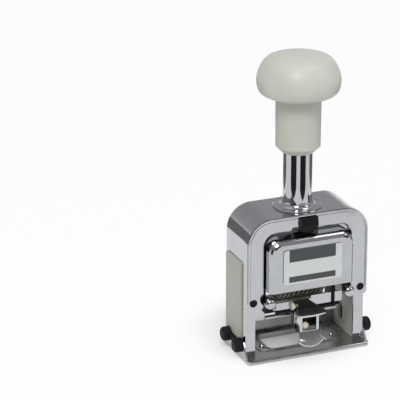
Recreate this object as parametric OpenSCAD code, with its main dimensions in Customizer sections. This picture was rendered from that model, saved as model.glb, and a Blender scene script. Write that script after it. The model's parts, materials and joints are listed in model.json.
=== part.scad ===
// Desk numbering machine: an arched chromed frame on a pan base, with a number
// wheel unit that a mushroom knob pushes down against a return spring.
// +X is to the right, the front faces -Y, +Z is up. The origin is the middle of
// the base's underside. All sizes are in millimetres, at rest (knob up).

/* [Frame] */
// Width over the casing
frame_w = 68.6; // [62:0.2:76]
// Height of the casing's roof above the table
frame_h = 79.9; // [78:0.1:90]
// Casing face at the front, measured from the plunger's axis
frame_front = 11.6; // [11:0.1:15]
// Casing face at the back, measured from the plunger's axis
frame_back = 14.6; // [14:0.1:18]
// Casing sheet thickness
casing_t = 1.2; // [0.8:0.1:1.6]
// Radius of the casing's two top corners
casing_r = 13.5; // [10:0.5:16]
// Width of the casing's turned-in edges at the legs
leg_w = 5.6; // [5:0.1:7]
// Depth of the casing's turned-in edges under the roof
roof_lip = 3; // [2:0.1:4]

/* [Front plate] */
// Thickness of the arched front plate
plate_t = 3; // [2:0.1:4]
// How far the front plate stands out past the casing all round
plate_lap = 0.5; // [0.2:0.1:1]
// Width of the front plate's two sides
plate_side = 9.4; // [8.6:0.1:10]
// Depth of the front plate's top
plate_top = 8.1; // [7:0.1:9]
// Radius of the opening's two top corners
opening_r = 7; // [4:0.5:8]
// Height of the front plate's lower ends above the table
plate_foot = 29.4; // [26:0.2:31]
// Width of the rounded rim along the front plate's edge
rim_w = 1.4; // [1:0.1:1.8]
// Width of the groove inside the rounded rim
groove_w = 0.8; // [0.4:0.1:1.2]
// Width of the lever's slot
slot_w = 10; // [8:0.5:12]
// Length of the slot's side leg
slot_leg = 4.4; // [3:0.2:6]
// Height of the two black screws above the table
screw_z = 33.9; // [32:0.1:38]
// Head radius of the two black screws
screw_r = 2.1; // [1.6:0.1:2.4]

/* [Base] */
// Thickness of the base's floor
base_t = 2; // [1.6:0.1:2.2]
// Front edge of the base, measured from the plunger's axis
base_front = 18.5; // [17:0.1:18.6]
// Radius of the base's front edge
base_edge_r = 1; // [0.4:0.1:1.2]
// Radius of the base's two front corners
base_corner_r = 2; // [1:0.2:3]
// Thickness of the base's turned-up walls
base_wall = 1; // [0.8:0.1:1.4]
// Height of the two side walls
side_wall_h = 10; // [8:0.5:11]
// Height of the rear wall
rear_wall_h = 9; // [6:0.5:9]
// Width of the printing window
window_w = 36; // [32:0.5:38]
// How far the printing window lies to the left of the middle
window_shift = 0.6; // [0:0.1:1]
// Front edge of the printing window, measured from the plunger's axis
window_front = 7.6; // [7.4:0.1:8]
// Back edge of the printing window, measured from the plunger's axis
window_back = 11.5; // [9:0.1:12]
// Corner radius of the printing window
window_r = 4; // [2:0.5:6]
// Height of the window plate's rim above the base's floor
window_rim = 0.8; // [0.4:0.1:0.8]

/* [Side guides] */
// Depth of a side guide's outer face, front to back
guide_d = 20; // [16:0.5:21]
// Lower edge of a guide's outer face above the table
guide_z0 = 10.3; // [10.1:0.1:14]
// Height of a guide's outer face
guide_h = 44.4; // [36:0.2:48]
// How far a guide stands out past the casing
guide_proud = 0.9; // [0.4:0.1:1.4]
// Wall thickness of the guides
guide_t = 1.5; // [1:0.1:2]

/* [Bumpers] */
// Length of a bumper along the base's side
bumper_l = 24; // [20:0.5:26]
// Radius of a bumper's two round ends
bumper_r = 3.9; // [3:0.1:4.4]
// How far a bumper's ends stand out from the base
bumper_out = 4.6; // [3:0.1:6]

/* [Guide tube and knob] */
// Outer radius of the guide tube
tube_r = 7.8; // [7.4:0.1:8.4]
// Wall thickness of the guide tube
tube_wall = 1; // [0.8:0.1:1.2]
// Radius of the guide tube's collar
collar_r = 13.2; // [12.4:0.1:14]
// Thickness of the guide tube's collar
collar_t = 0.8; // [0.6:0.1:1]
// Radius of the collar's hollow curve into the tube
flare_r = 3; // [2.4:0.1:3.4]
// How far the guide tube reaches down past the roof's top
tube_hold = 5.6; // [5:0.1:7]
// How far the sleeve covers the tube at rest
sleeve_grip = 14.2; // [12:0.1:16]
// Outer radius of the handle's sleeve
sleeve_r = 11.9; // [11:0.1:12.6]
// Height of the sleeve below the knob
sleeve_h = 32.4; // [30:0.1:34]
// Radius of the knob
knob_r = 22.2; // [21.6:0.1:24]
// Height of the knob
knob_h = 20.9; // [20:0.1:24]
// Height of the knob's widest part above its underside
belly_h = 6.9; // [5:0.1:9]
// Width of the knob's rounding at its lower edge
belly_r = 3; // [2:0.1:5]
// Radius of the knob's domed top
crown_r = 15.6; // [13:0.1:17]
// Height of the knob's domed top
crown_h = 2.3; // [1.5:0.1:3]
// Radius of the plunger rod
rod_r = 3.5; // [3:0.1:3.8]
// Wire thickness of the return spring
wire_d = 1.1; // [0.8:0.1:1.3]
// Turns of the return spring
spring_turns = 14; // [10:1:16]

/* [Number wheels] */
// How far the knob pushes the wheels down
stroke = 28.3; // [26:0.1:28.4]
// Number of wheels
wheel_count = 10; // [6:1:10]
// Distance from one wheel to the next
wheel_pitch = 2.6; // [2.2:0.1:2.6]
// Radius of a wheel over its printing faces
wheel_r = 11; // [10.6:0.1:11]
// How far the printing faces stand out of the wheel
type_h = 0.8; // [0.5:0.1:1]
// Radius of a wheel's ratchet
ratchet_r = 8.6; // [8:0.1:9]
// Radius of the wheels' axle
axle_r = 2; // [1.6:0.1:2.4]

/* [Wheel unit] */
// Sheet thickness of the inner frame
inner_t = 1.2; // [1:0.1:1.4]
// Half the depth of the inner frame
inner_d = 9.2; // [8.8:0.1:9.4]
// Height of the inner frame's bridge above the axle
bridge_h = 26.5; // [25:0.1:27]
// Gap between the cover and each side of the frame's opening
cover_gap = 0.5; // [0.4:0.1:1.5]
// Front face of the cover, measured from the plunger's axis
cover_front = 20.8; // [20.6:0.1:21.4]
// Lower edge of the cover above the axle
cover_drop = 0.7; // [0.5:0.1:2]
// Gap between the cover's top and the top of the frame's opening
cover_head = 2.7; // [2.5:0.1:5]
// Sheet thickness of the covers
cover_t = 0.8; // [0.6:0.1:0.9]
// Radius of the rounding along the cover's front edge
cover_r = 3.6; // [3:0.1:4]
// Height of the rear cover
rear_h = 11.5; // [9:0.5:14]
// How far the comb's bar lies below the bridge
comb_drop = 6.3; // [6:0.1:7]
// Radius of the comb's bar
bar_r = 1.2; // [1:0.1:1.4]
// Width of the label plate
label_w = 33.6; // [28:0.2:38]
// Height of the label plate
label_h = 19.4; // [16:0.2:21]
// Radius of the two domed studs under the cover
stud_r = 3.2; // [2.6:0.1:3.4]

/* [Ink pad] */
// Length of the ink pad across the wheels
pad_l = 30; // [26:0.2:32]
// Depth of the ink pad, front to back
pad_d = 10.8; // [8:0.2:11]
// Thickness of the ink pad
pad_t = 3.8; // [3:0.1:4]
// Sheet thickness of the pad's tray and carrier
tray_t = 0.8; // [0.6:0.1:0.9]
// Angle that the pad swings out of the wheels' way
pad_swing = 115; // [112:1:116]

/* [Presser foot] */
// Gap between the foot's cross plate and each stud
foot_gap = 0.5; // [0.4:0.1:2]
// Height of the foot's cross plate
foot_h = 5.6; // [4.6:0.1:6]
// Sheet thickness of the foot
foot_t = 1; // [0.8:0.1:1.1]
// Height of the foot's lower edge above the table
foot_lift = 6.6; // [6:0.1:8]
// Width of the thumb grip at its upper end
grip_top = 8.8; // [7:0.2:10]
// Width of the thumb grip at its lower edge
grip_low = 15.8; // [13:0.2:16.4]
// Height of the thumb grip
grip_h = 8.8; // [7.6:0.1:9.4]
// How far the grip's lower edge is set to the right of its upper end
grip_skew = 3.4; // [2:0.1:4]
// Number of grooves fanning over the thumb grip
grip_grooves = 6; // [3:1:8]
// Radius of the pale boss at the grip's upper end
boss_r = 1.9; // [1.4:0.1:1.9]
// Width of the foot's bracket at its front
bracket_w = 11; // [10:0.1:12]
// Width over the flare of the foot's tongue
tongue_w = 14.4; // [12:0.2:15]

/* [Hidden] */

// Clearances: between pieces that slide, in running fits, and round fixed pieces
gap = 0.3;
run = 0.06;
seat = 0.02;
print_gap = 0.2;

// Heights and depths that several pieces share
axle_z = wheel_r + stroke + print_gap;
bridge_z = axle_z + bridge_h - inner_t;
plate_back = frame_front;
plate_front = plate_back + plate_t;
opening_w = frame_w + 2 * plate_lap - 2 * plate_side;
opening_z = frame_h + plate_lap - plate_top;
cover_z = axle_z + cover_drop;
cover_w = opening_w - 2 * cover_gap;
cover_h = opening_z - cover_head - cover_z;
guide_in = frame_w / 2 - leg_w + 0.2;
screw_x = frame_w / 2 - casing_t - screw_r;
collar_z = frame_h + collar_t;
stop_h = 1.5;
sleeve_z = collar_z + stop_h + stroke + gap;
tube_top = sleeve_z + sleeve_grip;
knob_z = sleeve_z + sleeve_h;
ceiling_z = tube_top + stroke + gap;
tube_foot = frame_h - tube_hold;
bush_h = 2.5;
spring_z = tube_foot + bush_h;
wheels_w = wheel_count * wheel_pitch;
stud_x = opening_w / 2 - 2.6;
stud_z = axle_z - 5.8;
foot_w = 2 * (stud_x - stud_r - foot_gap);
foot_y = cover_front - 3.7;
plate_z = axle_z - 10.6;
foot_rise = stroke - foot_lift + gap;

// Points along an arc: centre, radius, first and last angle, number of steps
function arc(c, r, a0, a1, n) =
    [for (i = [0:n]) let (a = a0 + (a1 - a0) * i / n) c + r * [cos(a), sin(a)]];

// Points along a quarter of a superellipse: centre, half axes, power, first and last angle, steps
function bulge(c, a, b, p, t0, t1, n) =
    [for (i = [0:n]) let (t = t0 + (t1 - t0) * i / n) c + [a * pow(cos(t), 2 / p), b * pow(sin(t), 2 / p)]];

// A flat outline in X and Z, given depth from y0 to y1
module along_y(y0, y1) {
    translate([0, y1, 0]) rotate([90, 0, 0]) linear_extrude(y1 - y0) children();
}

// A flat outline in Y and Z, given width from x0 to x1
module along_x(x0, x1) {
    translate([x0, 0, 0]) rotate([90, 0, 90]) linear_extrude(x1 - x0) children();
}

// The same piece on both sides of the middle
module both_sides() {
    children();
    mirror([1, 0, 0]) children();
}

// An arch outline: straight sides from z0, round corners under the top at z1
module arch(w, z0, z1, r) {
    translate([-w / 2, z0]) square([w, z1 - z0 - r]);
    translate([r - w / 2, z0]) square([w - 2 * r, z1 - z0]);
    for (s = [-1, 1]) translate([s * (w / 2 - r), z1 - r]) circle(r, $fn = 48);
}

// A rectangle with round corners, lower left corner at the origin
module round_rect(w, h, r) {
    translate([r, 0]) square([w - 2 * r, h]);
    translate([0, r]) square([w, h - 2 * r]);
    for (x = [r, w - r], z = [r, h - r]) translate([x, z]) circle(r, $fn = 32);
}

// A slot with round ends, centred, its length along X
module slot2d(l, w) {
    square([l - w, w], center = true);
    for (s = [-1, 1]) translate([s * (l - w) / 2, 0]) circle(w / 2, $fn = 32);
}

/* ---- Frame ---- */

// Folded chromed strap: legs, roof and turned-in edges front and back
module casing() {
    inner_w = frame_w - 2 * casing_t;
    mouth_w = frame_w - 2 * leg_w;
    color([0.72, 0.73, 0.74]) difference() {
        along_y(-frame_front, frame_back) arch(frame_w, base_t, frame_h, casing_r);
        along_y(casing_t - frame_front, frame_back - casing_t)
            arch(inner_w, 0, frame_h - casing_t, casing_r - casing_t);
        along_y(-frame_front - 1, frame_back + 1)
            arch(mouth_w, 0, frame_h - roof_lip, casing_r - roof_lip);
        both_sides() side_guide_block(seat);
        both_sides() translate([screw_x, -frame_front - 1, screw_z]) rotate([-90, 0, 0])
            cylinder(r = screw_r / 2 + run, h = 4, $fn = 32);
        translate([0, 0, frame_h - casing_t - 1])
            cylinder(r = tube_r + seat, h = casing_t + 2, $fn = 64);
    }
}

// Arched front plate with a rounded rim and the lever's slot
module front_plate() {
    w = frame_w + 2 * plate_lap;
    top = frame_h + plate_lap;
    r = casing_r + plate_lap;
    foot = plate_side / 2;
    slot_z = opening_z + 1.6;
    color([0.76, 0.77, 0.78]) difference() {
        union() {
            along_y(-plate_front, -plate_back) arch(w, plate_foot + foot / 2, top, r);
            along_y(-plate_front, -plate_back) both_sides()
                translate([-w / 2, plate_foot]) round_rect(plate_side, foot, foot / 2 - 0.1);
            rim_ring(0.15, rim_w - 0.3, 0.3);
            rim_ring(0.35, rim_w - 0.7, 0.55);
            rim_ring(0.5, rim_w - 1, 0.7);
        }
        translate([0, 0.3, 0]) rim_ring(rim_w, groove_w, 0.35);
        along_y(-plate_front - 2, -plate_back + 1) {
            arch(opening_w, 0, opening_z, opening_r);
            translate([-slot_w / 2, opening_z - 2]) square([slot_w, plate_top - rim_w + 1]);
            translate([-slot_w / 2 - slot_leg + 1.1, opening_z - 2]) square([slot_leg, 3.6 - 1.1]);
            translate([-slot_w / 2 - slot_leg + 1.1, slot_z - 1.1]) circle(1.1, $fn = 24);
            translate([-slot_w / 2 - slot_leg + 1.1, slot_z - 1.1]) square([slot_leg, 1.1]);
        }
        both_sides() front_screw(run);
        translate([0, 0, frame_h - seat]) cylinder(r = collar_r + seat, h = 4, $fn = 96);
    }
}

// A band along the front plate's edge: d in from the edge, w wide, h high
module rim_ring(d, w, h) {
    outer = frame_w + 2 * plate_lap - 2 * d;
    top = frame_h + plate_lap - d;
    r = casing_r + plate_lap - d;
    along_y(-plate_front - h, -plate_front + 0.01) difference() {
        arch(outer, plate_foot + plate_side / 2, top, r);
        arch(outer - 2 * w, plate_foot, top - w, r - w);
    }
}

// One countersunk screw, larger all round by c
module front_screw(c) {
    translate([screw_x, 0, screw_z]) rotate([90, 0, 0]) {
        translate([0, 0, plate_front - 1.4 - c]) cylinder(r = screw_r + c, h = 1.4 + 2 * c, $fn = 48);
        translate([0, 0, plate_back - casing_t]) cylinder(r = screw_r / 2 + c,
            h = plate_t + casing_t - 1, $fn = 32);
    }
}

module front_screws() {
    color([0.08, 0.08, 0.09]) both_sides() front_screw(0);
}

// Pan base: floor with the printing window, side walls and a low rear wall
module base_pan() {
    half = frame_w / 2 + gap / 6 + base_wall;
    back = frame_back + gap + base_wall;
    color([0.62, 0.63, 0.64]) difference() {
        union() {
            along_x(-half, half) polygon(concat([[back, 0], [-base_front, 0]],
                arc([base_edge_r - base_front, base_t - base_edge_r], base_edge_r, 180, 90, 5),
                [[back, base_t]]));
            both_sides() along_x(half - base_wall, half) polygon([[-base_front + 3, 0],
                [-base_front + 3, base_t], [-base_front + 9, side_wall_h], [back - 2, side_wall_h],
                [back, side_wall_h - 2], [back, 0]]);
            translate([-half, back - base_wall, 0]) cube([2 * half, base_wall, rear_wall_h]);
        }
        translate([0, 0, -1]) linear_extrude(base_t + 2) window_outline(window_w);
        for (s = [-1, 1]) window_rivet(s, run);
        translate([0, 0, -1]) linear_extrude(base_t + 2) both_sides()
            translate([half - base_corner_r, base_corner_r - base_front]) difference() {
                translate([0, -base_corner_r - 1]) square(base_corner_r + 1);
                circle(base_corner_r, $fn = 32);
            }
    }
}

// Outline of the printing window
module window_outline(w) {
    translate([-w / 2 - window_shift, -window_front]) round_rect(w, window_front + window_back, window_r);
}

// Flat plate round the window, with a low rim, riveted to the base's floor
module window_plate() {
    color([0.7, 0.71, 0.72]) difference() {
        union() {
            translate([0, 0, base_t]) linear_extrude(window_rim / 2)
                translate([-window_w / 2 - window_shift - 5.6, -window_front - 1])
                round_rect(window_w + 11.2, window_front + window_back + 2, window_r);
            translate([0, 0, base_t]) linear_extrude(window_rim)
                translate([-window_w / 2 - window_shift - 1, -window_front - 1])
                round_rect(window_w + 2, window_front + window_back + 2, window_r + 1);
        }
        translate([0, 0, base_t - 1]) linear_extrude(window_rim + 2) window_outline(window_w);
        for (s = [-1, 1]) window_rivet(s, run);
    }
}

rivet_out = 2.3;
rivet_y = -2.6;
rivet_r = 0.9;
rivet_head = 1.6;

// One domed rivet beside the window, larger all round by c
module window_rivet(s, c) {
    x = s * (window_w / 2 + rivet_out) - window_shift;
    translate([x, rivet_y, 0.3 - c]) cylinder(r = rivet_r + c, h = base_t + window_rim / 2, $fn = 24);
    translate([x, rivet_y, 0]) rotate_extrude($fn = 32) polygon(concat(
        [[0, base_t + window_rim / 2]], arc([0, base_t + window_rim / 2], rivet_head, 0, 90, 6)));
}

module window_rivets() {
    color([0.85, 0.85, 0.86]) for (s = [-1, 1]) window_rivet(s, 0);
}

// The guide's outer block where it passes through the casing's side
module side_guide_block(c) {
    y0 = frame_back - casing_t - guide_d - c;
    along_x(frame_w / 2 - casing_t - 2, frame_w / 2 + guide_proud) translate([y0, guide_z0 - c])
        round_rect(guide_d + 2 * c, guide_h + 2 * c, 1.2);
}

// Moulded side guide: outer face, hollow block, and the inner wall with its slot
module side_guide() {
    y1 = frame_back - casing_t - gap / 3;
    y0 = y1 - guide_d;
    inner_x = guide_in;
    wall_y0 = casing_t + gap / 3 - frame_front;
    color([0.72, 0.72, 0.66]) difference() {
        union() {
            side_guide_block(0);
            along_x(inner_x, frame_w / 2 - casing_t - gap / 3)
                translate([wall_y0, base_t + gap]) square([y1 - wall_y0, guide_z0 + guide_h]);
        }
        along_x(inner_x + guide_t, frame_w / 2 + guide_proud - guide_t)
            translate([y0 + guide_t, guide_z0 + guide_t])
            round_rect(guide_d - 2 * guide_t, guide_h - 2 * guide_t, 1);
        along_x(inner_x + guide_t, frame_w / 2 - casing_t) {
            translate([wall_y0 - 1, base_t - 1])
                square([y0 - wall_y0 + 1 + guide_t / 2, guide_z0 + guide_h + 9]);
            translate([y0 + guide_t, base_t + gap + guide_t])
                square([guide_d - 2 * guide_t, guide_z0 + guide_h / 2 - base_t]);
        }
        along_x(inner_x - 1, inner_x + guide_t + 1) translate([5.3, 12]) rotate(90) slot2d(10.6, 5.6);
    }
}

module side_guide_left() {
    mirror([1, 0, 0]) side_guide();
}

module side_guide_right() {
    side_guide();
}

// Rubber bumper on the base's side: a band with two round ends
module bumper() {
    x0 = frame_w / 2 + gap / 6 + base_wall;
    z = side_wall_h - 1.6;
    reach = bumper_l / 2 - bumper_r;
    color([0.09, 0.09, 0.1]) union() {
        translate([x0, -reach, z - 1.6]) cube([bumper_out / 3, 2 * reach, 3.2]);
        for (s = [-1, 1]) translate([x0, s * reach, z]) rotate([0, 90, 0]) rotate_extrude($fn = 48)
            polygon(concat([[0, 0], [bumper_r, 0]],
                arc([bumper_r - 1.6, bumper_out - 1.6], 1.6, 0, 90, 6), [[0, bumper_out]]));
    }
}

module bumper_left() {
    mirror([1, 0, 0]) bumper();
}

module bumper_right() {
    bumper();
}

// Chromed tube with a flared collar; its foot is the rod's bush and the spring's seat
module guide_tube() {
    color([0.78, 0.79, 0.8]) rotate_extrude($fn = 96) polygon(concat(
        [[rod_r + run, tube_foot], [tube_r, tube_foot], [tube_r, frame_h], [collar_r, frame_h],
         [collar_r, frame_h + collar_t], [collar_r - 0.3, collar_z + 0.3],
         [collar_r - 0.8, collar_z + 0.3], [collar_r - 1.1, collar_z],
         [tube_r + flare_r, collar_z]],
        arc([tube_r + flare_r, collar_z + flare_r], flare_r, 270, 180, 10),
        [[tube_r, tube_top - 0.6], [tube_r - 0.5, tube_top], [tube_r - tube_wall, tube_top],
         [tube_r - tube_wall, spring_z], [rod_r + run, spring_z]]));
}

// Round nut that holds the tube under the roof
module tube_nut() {
    color([0.6, 0.6, 0.58]) difference() {
        translate([0, 0, frame_h - casing_t - 3.4]) cylinder(r = tube_r + 2.2, h = 3.4, $fn = 12);
        translate([0, 0, 0]) cylinder(r = tube_r + seat, h = frame_h, $fn = 64);
    }
}

/* ---- Lock lever ---- */

lever_w = 9.8;
lever_travel = slot_leg + slot_w / 2 - 2.6 - gap;

// Black thumb lever in front of the plate, with a neck through the slot
module lock_lever() {
    z0 = opening_z - 1.1;
    z1 = frame_h + plate_lap - rim_w - gap;
    y1 = -plate_front - gap / 2;
    color([0.07, 0.07, 0.08]) union() {
        along_x(-lever_w / 2, lever_w / 2) polygon(concat([[y1, z0], [y1, z1], [y1 - 1.6, z1]],
            arc([y1 - 1.6, z0 + 3.2], 0.8, 180, 270, 4), [[y1 - 1.6, z0]]));
        translate([-2.6, y1 - 1.2, z0 - 1.2]) cube([5.2, 1.2, 1.4]);
        translate([-2.6, y1 - 0.1, opening_z - 0.6]) cube([5.2, plate_t + gap + 0.1, 1.6]);
    }
}

// Steel slider that keeps the lever in its slot, behind the front plate
module lock_slider() {
    y0 = gap / 2 - plate_back;
    color([0.5, 0.5, 0.5]) difference() {
        translate([-7.4, y0, opening_z - 1.6]) cube([14.8, 1, 4.2]);
        translate([-2.6 - seat, y0 - 1, opening_z - 0.6 - seat]) cube([5.2 + 2 * seat, 3, 1.6 + 2 * seat]);
    }
}

/* ---- Plunger ---- */

socket_r = sleeve_r - 2;
socket_h = 8;

// Mushroom knob: flat underside, full belly and a shallow domed top, hollow for the tube
module knob() {
    belly_z = knob_z + belly_h;
    crown_z = knob_z + knob_h - crown_h;
    color([0.8, 0.8, 0.75]) rotate_extrude($fn = 96) polygon(concat(
        [[rod_r + seat, ceiling_z + 6], [rod_r + seat, ceiling_z], [socket_r - 1.4, ceiling_z],
         [socket_r - 1.4, knob_z + socket_h], [socket_r + seat, knob_z + socket_h],
         [socket_r + seat, knob_z]],
        bulge([knob_r - belly_r, belly_z], belly_r, -belly_h, 2.07, 90, 0, 10),
        bulge([crown_r, belly_z], knob_r - crown_r, crown_z - belly_z, 1.64, 6, 90, 12),
        [for (i = [1:6]) let (k = 1 - i / 6) [crown_r * k, crown_z + crown_h * (1 - k * k)]],
        [[0, ceiling_z + 6]]));
}

// Handle sleeve that slides down over the tube, with a spigot into the knob
module handle_sleeve() {
    color([0.76, 0.76, 0.71]) rotate_extrude($fn = 96) polygon([
        [tube_r + 0.5, sleeve_z], [tube_r + 1, sleeve_z], [sleeve_r, sleeve_z + 3.2],
        [sleeve_r + 0.2, knob_z - gap / 6], [socket_r, knob_z - gap / 6],
        [socket_r, knob_z + socket_h - gap / 2], [socket_r - 1.4, knob_z + socket_h - gap / 2],
        [socket_r - 1.4, sleeve_z + 6.6], [tube_r + run, sleeve_z + 5], [tube_r + run, sleeve_z + 1.2]]);
}

// Rod from the knob down to the bridge, with a threaded lower end
module plunger_rod() {
    color([0.7, 0.7, 0.72]) union() {
        translate([0, 0, bridge_z + inner_t])
            cylinder(r = rod_r, h = ceiling_z + 5.8 - bridge_z - inner_t, $fn = 48);
        translate([0, 0, bridge_z - 4.4]) cylinder(r = rod_r - 1, h = inner_t + 4.5, $fn = 48);
    }
}

// Hexagon nut under the bridge
module rod_nut() {
    color([0.62, 0.62, 0.6]) difference() {
        translate([0, 0, bridge_z - 3.2]) cylinder(r = rod_r + 1.7, h = 3.2, $fn = 6);
        translate([0, 0, bridge_z - 4]) cylinder(r = rod_r - 1 + seat, h = 5, $fn = 48);
    }
}

// Return spring between the tube's foot and the knob's ceiling
module return_spring() {
    r = (rod_r + tube_r - tube_wall) / 2;
    steps = 14;
    sides = 6;
    z0 = spring_z + wire_d / 2 + seat;
    rise = ceiling_z - spring_z - wire_d - 2 * seat;
    rings = spring_turns * steps;
    points = [for (i = [0:rings], j = [0:sides - 1])
        let (a = 360 * i / steps, b = 360 * j / sides, q = r + wire_d / 2 * cos(b))
        [q * cos(a), q * sin(a), z0 + rise * i / rings + wire_d / 2 * sin(b)]];
    sides_of = [for (i = [0:rings - 1], j = [0:sides - 1]) let (k = (j + 1) % sides)
        [i * sides + k, (i + 1) * sides + k, (i + 1) * sides + j, i * sides + j]];
    ends = [[for (j = [sides - 1:-1:0]) j], [for (j = [0:sides - 1]) rings * sides + j]];
    color([0.45, 0.45, 0.47]) polyhedron(points, concat(sides_of, ends));
}

/* ---- Wheel unit ---- */

inner_x = guide_in - gap - 1.9 - inner_t;
arm_x = opening_w / 2 - 0.8 - inner_t;
arm_y = 3.7 - cover_front;

// Folded inner frame: bridge, two side plates with runners, and two front arms
module inner_frame() {
    w = inner_x + inner_t;
    bottom = axle_z - 8.6;
    side_h = bridge_z + inner_t - bottom;
    color([0.66, 0.67, 0.68]) difference() {
        union() {
            translate([-w, -inner_d, bridge_z]) cube([2 * w, 2 * inner_d, inner_t]);
            both_sides() {
                translate([inner_x, -inner_d, bottom]) cube([inner_t, 2 * inner_d, side_h]);
                for (y = [-inner_d, inner_d - inner_t]) translate([inner_x, y, bottom + 4])
                    cube([guide_in - gap - inner_x, inner_t, side_h - 4]);
                translate([arm_x, -inner_d, bottom]) cube([w - arm_x, inner_t, 8]);
                front_arm(bottom);
            }
        }
        translate([0, 0, bridge_z - 1]) cylinder(r = rod_r - 1 + run, h = inner_t + 2, $fn = 48);
        rotate([0, 90, 0]) translate([-axle_z, 0, -w - 1])
            cylinder(r = axle_r + seat, h = 2 * w + 2, $fn = 48);
        both_sides() stud_shank(run);
        translate([-w - 1, comb_y, comb_z]) rotate([0, 90, 0])
            cylinder(r = bar_r + seat, h = 2 * w + 2, $fn = 32);
    }
}

// Arm that reaches forward through the opening and carries a domed stud
module front_arm(bottom) {
    translate([arm_x, arm_y, bottom]) cube([inner_t, -inner_d - arm_y + 0.1, 6]);
    along_y(arm_y, arm_y + inner_t) intersection() {
        translate([stud_x, stud_z]) circle(stud_r - 0.2, $fn = 40);
        translate([stud_x - 5, bottom]) square([arm_x + inner_t - stud_x + 5, 9]);
    }
}

module stud_shank(c) {
    translate([stud_x, arm_y + inner_t + 0.4, stud_z]) rotate([90, 0, 0])
        cylinder(r = 1.5 + c, h = inner_t + 1, $fn = 32);
}

// Two domed studs under the cover's corners
module cover_studs() {
    dome_h = 3;
    color([0.8, 0.8, 0.82]) both_sides() {
        stud_shank(0);
        translate([stud_x, arm_y, stud_z]) rotate([90, 0, 0]) rotate_extrude($fn = 48)
            polygon(concat([[0, 0], [stud_r, 0], [stud_r, 0.8]],
                arc([stud_r - 2.4, 0.6], 2.4, 0, 90, 8), [[0, dome_h]]));
    }
}

// Outline of the cover's outside, set in by d all round except at the bottom
module cover_level(y, d) {
    translate([0, -y, 0]) along_y(0, 0.05)
        arch(cover_w - 2 * d, cover_z, cover_z + cover_h - d, opening_r - 0.4 - d / 2);
}

// Pressed shell: lofted through levels that round its front edge, less d all round
module cover_form(d) {
    r = cover_r;
    hull() {
        cover_level(plate_back - 1.6, d);
        for (a = [0:22.5:90])
            cover_level(cover_front - d - r + r * sin(a), d + 0.5 + (r - 1.2) * (1 - cos(a)));
    }
}

// Front cover, open below and behind, with a flange behind the opening and two fixing lips
module front_cover() {
    flange_y = gap - plate_back;
    flange_w = 2 * (guide_in - gap - 2);
    lip_x = inner_x - seat - cover_t;
    color([0.75, 0.76, 0.77]) union() {
        difference() {
            union() {
                cover_form(0);
                along_y(flange_y, flange_y + cover_t)
                    arch(flange_w, cover_z, opening_z - 1.6 - gap, opening_r);
            }
            difference() {
                cover_form(cover_t);
                translate([-cover_w, -cover_front, cover_z]) cube(0.01);
            }
            translate([-cover_w / 2 + cover_t, -plate_back, cover_z - 1])
                cube([cover_w - 2 * cover_t, 4, cover_h - cover_t - 3]);
            translate([-cover_w / 2 + 2, -cover_front + cover_t + 0.4, cover_z - 1])
                cube([cover_w - 4, 9, 3]);
        }
        both_sides() translate([lip_x, flange_y + cover_t - 0.1, cover_z + 2])
            cube([cover_t, -inner_d - flange_y - cover_t + 5, cover_h - 10]);
    }
}

// Short rear cover on the back of the inner frame
module rear_cover() {
    w = 2 * (inner_x + inner_t);
    color([0.7, 0.71, 0.72]) along_y(inner_d, inner_d + cover_t)
        arch(w, bridge_z + inner_t - rear_h, bridge_z + inner_t, rear_h / 3);
}

// Screws that hold the front cover's lips and the rear cover
module cover_screws() {
    color([0.6, 0.6, 0.62]) both_sides() {
        for (z = [cover_z + 6, cover_z + cover_h - 12])
            translate([inner_x + inner_t + seat, 3 - inner_d, z])
            rotate([0, 90, 0]) cylinder(r = 1.3, h = 0.6, $fn = 24);
        translate([inner_x - 3, inner_d + cover_t + seat + 0.5, bridge_z - 4]) rotate([90, 0, 0])
            cylinder(r = 1.3, h = 0.5, $fn = 24);
    }
}

// Bare label plate on the cover's face
module label_plate() {
    color([0.8, 0.81, 0.81]) along_y(-cover_front - 0.5, -cover_front)
        translate([-label_w / 2, cover_z + (cover_h - label_h) / 2 - 0.6])
        round_rect(label_w, label_h, 1.6);
}

module wheel_axle() {
    l = 2 * (guide_in - gap - 0.2);
    color([0.6, 0.6, 0.62]) translate([-l / 2, 0, axle_z]) rotate([0, 90, 0])
        cylinder(r = axle_r, h = l, $fn = 48);
}

// Retaining rings on the axle outside the side plates
module axle_clips() {
    color([0.4, 0.4, 0.42]) both_sides() translate([inner_x + inner_t + 0.1, 0, axle_z])
        rotate([0, 90, 0]) difference() {
            cylinder(r = axle_r + 1.6, h = 0.8, $fn = 32);
            translate([0, 0, -1]) cylinder(r = axle_r + seat, h = 3, $fn = 48);
        }
}

comb_y = 7;
comb_z = bridge_z - comb_drop;
rim_t = wheel_pitch - 0.9;

// Bar that carries the detent comb behind the wheels
module comb_bar() {
    l = 2 * (inner_x + inner_t);
    color([0.6, 0.6, 0.62]) translate([-l / 2, comb_y, comb_z]) rotate([0, 90, 0])
        cylinder(r = bar_r, h = l, $fn = 32);
}

// Spring comb: one finger in the groove beside each wheel's rim
module detent_comb() {
    tip_r = ratchet_r + 0.5;
    a = 62;
    tip = [tip_r * cos(a), axle_z + tip_r * sin(a)];
    top = [comb_y + bar_r + seat, comb_z];
    color([0.55, 0.53, 0.45]) union() {
        along_x(-wheels_w / 2, wheels_w / 2) polygon([[top[0], comb_z - 3], [top[0], comb_z + 3],
            [top[0] + 0.5, comb_z + 3], [top[0] + 0.5, comb_z - 3]]);
        for (i = [1:wheel_count]) along_x(wheel_x(i) + rim_t + 0.2, wheel_x(i) + rim_t + 0.7)
            polygon([[top[0], comb_z - 2], tip, tip + [0.6, 0.2], [top[0] + 0.5, comb_z - 2]]);
    }
}

// Black wire on the foot: a bar under the cross plate, and a rod that runs up in the cover
rail_x = 13.8;
rail_r = 0.8;
rail_y = -foot_y - 0.5;
rail_top = cover_z + cover_h - cover_t - gap - foot_rise - 1.2;
bar_y = rail_r - foot_y;
bar_z = plate_z - rail_r - 0.6;
bar_right = 3.8;

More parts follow.
